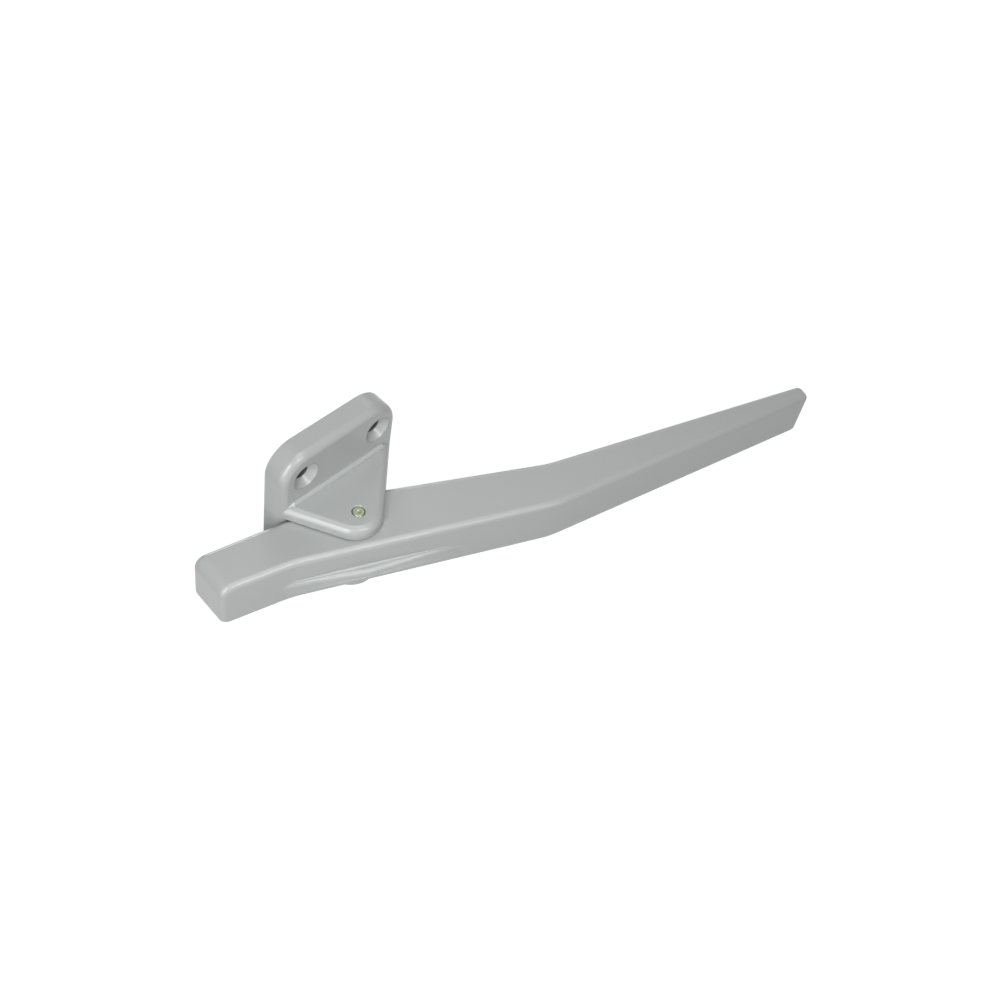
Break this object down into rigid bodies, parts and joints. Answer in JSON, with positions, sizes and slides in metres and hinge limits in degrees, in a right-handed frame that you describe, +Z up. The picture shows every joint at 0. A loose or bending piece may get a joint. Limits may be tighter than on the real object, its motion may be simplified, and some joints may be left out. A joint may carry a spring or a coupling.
{
  "type": "inside latch handle",
  "caption": "Inside latch handle: a tapered cranked lever turns on a pin between the ears of a cast bracket with a countersunk screw plate.",
  "frame": {"origin": "on the plate's back face, midway between the two screw holes", "axes": "+X along the plate towards the grip, -Y out of the plate's front face, +Z up the hinge pin"},
  "size_m": [0.1802, 0.0721, 0.0428],
  "materials": {
    "bracket": "satin",
    "lever": "satin",
    "pivot_pin": "satin"
  },
  "bodies": {
    "bracket": {"bracket": "bracket", "pivot_pin": "pivot_pin"},
    "lever": {"lever": "lever"}
  },
  "joints": [
    {"name": "lever_swing", "type": "hinge", "parent": "bracket", "child": "lever", "pos_m": [-0.00506, -0.0197, -0.02095], "axis": [0, 0, 1], "range_deg": [0, 25]}
  ]
}
